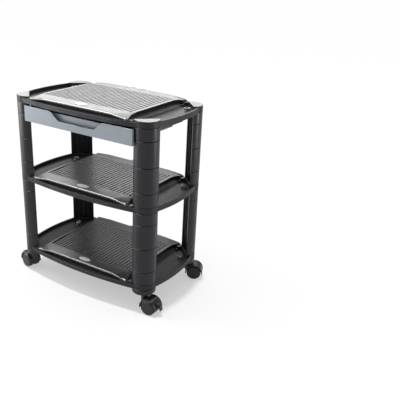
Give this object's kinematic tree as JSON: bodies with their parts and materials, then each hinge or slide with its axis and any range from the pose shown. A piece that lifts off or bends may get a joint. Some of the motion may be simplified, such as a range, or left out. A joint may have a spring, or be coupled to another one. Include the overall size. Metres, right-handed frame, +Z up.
{
  "type": "mobile printer stand",
  "caption": "Rolling printer stand with ribbed shelves on D-shaped modular corner columns, a shallow drawer under the top shelf and twin-wheel casters.",
  "frame": {"origin": "on the floor, midway between the four columns", "axes": "+Z up, the drawer and the front edge face -Y, +X to the right seen from the front"},
  "size_m": [0.6047, 0.3515, 0.63],
  "materials": {
    "shelf_plastic": "satin charcoal with a fine moulded texture",
    "column_plastic": "satin black-grey, fine moulded texture",
    "drawer_plastic": "satin blue-grey",
    "runner_plastic": "satin black",
    "badge_plastic": "glossy white",
    "steel": "zinc-plated",
    "caster_plastic": "semi-gloss black",
    "wheel_nylon": "semi-gloss black nylon"
  },
  "bodies": {
    "stand": {"bottom_shelf": "shelf_plastic", "middle_shelf": "shelf_plastic", "top_shelf": "shelf_plastic", "bottom_badge": "badge_plastic", "middle_badge": "badge_plastic", "top_badge": "badge_plastic", "bottom_lock_screws": "steel", "middle_lock_screws": "steel", "top_lock_screws": "steel", "front_left_lower_odd_modules": "column_plastic", "front_left_upper_odd_modules": "column_plastic", "front_right_lower_odd_modules": "column_plastic", "front_right_upper_odd_modules": "column_plastic", "back_left_lower_odd_modules": "column_plastic", "back_left_upper_odd_modules": "column_plastic", "back_right_lower_odd_modules": "column_plastic", "back_right_upper_odd_modules": "column_plastic", "front_left_lower_even_modules": "column_plastic", "front_left_upper_even_modules": "column_plastic", "front_right_lower_even_modules": "column_plastic", "front_right_upper_even_modules": "column_plastic", "back_left_lower_even_modules": "column_plastic", "back_left_upper_even_modules": "column_plastic", "back_right_lower_even_modules": "column_plastic", "back_right_upper_even_modules": "column_plastic", "drawer_runner_left": "runner_plastic", "drawer_runner_right": "runner_plastic", "front_left_foot_cap": "column_plastic", "front_right_foot_cap": "column_plastic", "back_left_foot_cap": "column_plastic", "back_right_foot_cap": "column_plastic", "front_left_caster_stem": "steel", "front_right_caster_stem": "steel", "back_left_caster_stem": "steel", "back_right_caster_stem": "steel"},
    "drawer": {"drawer_tray": "drawer_plastic", "drawer_front": "drawer_plastic"},
    "caster_front_left": {"front_left_caster_housing": "caster_plastic", "front_left_axle": "steel"},
    "wheel_front_left_a": {"front_left_wheel_a": "wheel_nylon"},
    "wheel_front_left_b": {"front_left_wheel_b": "wheel_nylon"},
    "brake_front_left": {"front_left_brake_lever": "caster_plastic"},
    "caster_front_right": {"front_right_caster_housing": "caster_plastic", "front_right_axle": "steel"},
    "wheel_front_right_a": {"front_right_wheel_a": "wheel_nylon"},
    "wheel_front_right_b": {"front_right_wheel_b": "wheel_nylon"},
    "brake_front_right": {"front_right_brake_lever": "caster_plastic"},
    "caster_back_left": {"back_left_caster_housing": "caster_plastic", "back_left_axle": "steel"},
    "wheel_back_left_a": {"back_left_wheel_a": "wheel_nylon"},
    "wheel_back_left_b": {"back_left_wheel_b": "wheel_nylon"},
    "caster_back_right": {"back_right_caster_housing": "caster_plastic", "back_right_axle": "steel"},
    "wheel_back_right_a": {"back_right_wheel_a": "wheel_nylon"},
    "wheel_back_right_b": {"back_right_wheel_b": "wheel_nylon"}
  },
  "joints": [
    {"name": "drawer_slide", "type": "slide", "parent": "stand", "child": "drawer", "axis": [0, -1, 0], "range_m": [0, 0.17]},
    {"name": "front_left_swivel", "type": "hinge", "parent": "stand", "child": "caster_front_left", "pos_m": [-0.23691, -0.13131, 0.05], "axis": [0, 0, 1], "continuous": true},
    {"name": "front_left_wheel_a_spin", "type": "hinge", "parent": "caster_front_left", "child": "wheel_front_left_a", "pos_m": [-0.2602, -0.12551, 0.025], "axis": [-0.2419, -0.9703, 0], "continuous": true},
    {"name": "front_left_wheel_b_spin", "type": "hinge", "parent": "caster_front_left", "child": "wheel_front_left_b", "pos_m": [-0.2602, -0.12551, 0.025], "axis": [-0.2419, -0.9703, 0], "continuous": true},
    {"name": "front_left_brake", "type": "hinge", "parent": "caster_front_left", "child": "brake_front_left", "pos_m": [-0.28851, -0.11845, 0.04323], "axis": [-0.2419, -0.9703, 0], "range_deg": [-30, 0]},
    {"name": "front_right_swivel", "type": "hinge", "parent": "stand", "child": "caster_front_right", "pos_m": [0.23691, -0.13131, 0.05], "axis": [0, 0, 1], "continuous": true},
    {"name": "front_right_wheel_a_spin", "type": "hinge", "parent": "caster_front_right", "child": "wheel_front_right_a", "pos_m": [0.26091, -0.13131, 0.025], "axis": [0, 1, 0], "continuous": true},
    {"name": "front_right_wheel_b_spin", "type": "hinge", "parent": "caster_front_right", "child": "wheel_front_right_b", "pos_m": [0.26091, -0.13131, 0.025], "axis": [0, 1, 0], "continuous": true},
    {"name": "front_right_brake", "type": "hinge", "parent": "caster_front_right", "child": "brake_front_right", "pos_m": [0.29009, -0.13131, 0.04323], "axis": [0, 1, 0], "range_deg": [-30, 0]},
    {"name": "back_left_swivel", "type": "hinge", "parent": "stand", "child": "caster_back_left", "pos_m": [-0.23691, 0.13131, 0.05], "axis": [0, 0, 1], "continuous": true},
    {"name": "back_left_wheel_a_spin", "type": "hinge", "parent": "caster_back_left", "child": "wheel_back_left_a", "pos_m": [-0.2577, 0.14331, 0.025], "axis": [-0.5, -0.866, 0], "continuous": true},
    {"name": "back_left_wheel_b_spin", "type": "hinge", "parent": "caster_back_left", "child": "wheel_back_left_b", "pos_m": [-0.2577, 0.14331, 0.025], "axis": [-0.5, -0.866, 0], "continuous": true},
    {"name": "back_right_swivel", "type": "hinge", "parent": "stand", "child": "caster_back_right", "pos_m": [0.23691, 0.13131, 0.05], "axis": [0, 0, 1], "continuous": true},
    {"name": "back_right_wheel_a_spin", "type": "hinge", "parent": "caster_back_right", "child": "wheel_back_right_a", "pos_m": [0.25866, 0.14146, 0.025], "axis": [-0.4226, 0.9063, 0], "continuous": true},
    {"name": "back_right_wheel_b_spin", "type": "hinge", "parent": "caster_back_right", "child": "wheel_back_right_b", "pos_m": [0.25866, 0.14146, 0.025], "axis": [-0.4226, 0.9063, 0], "continuous": true}
  ]
}
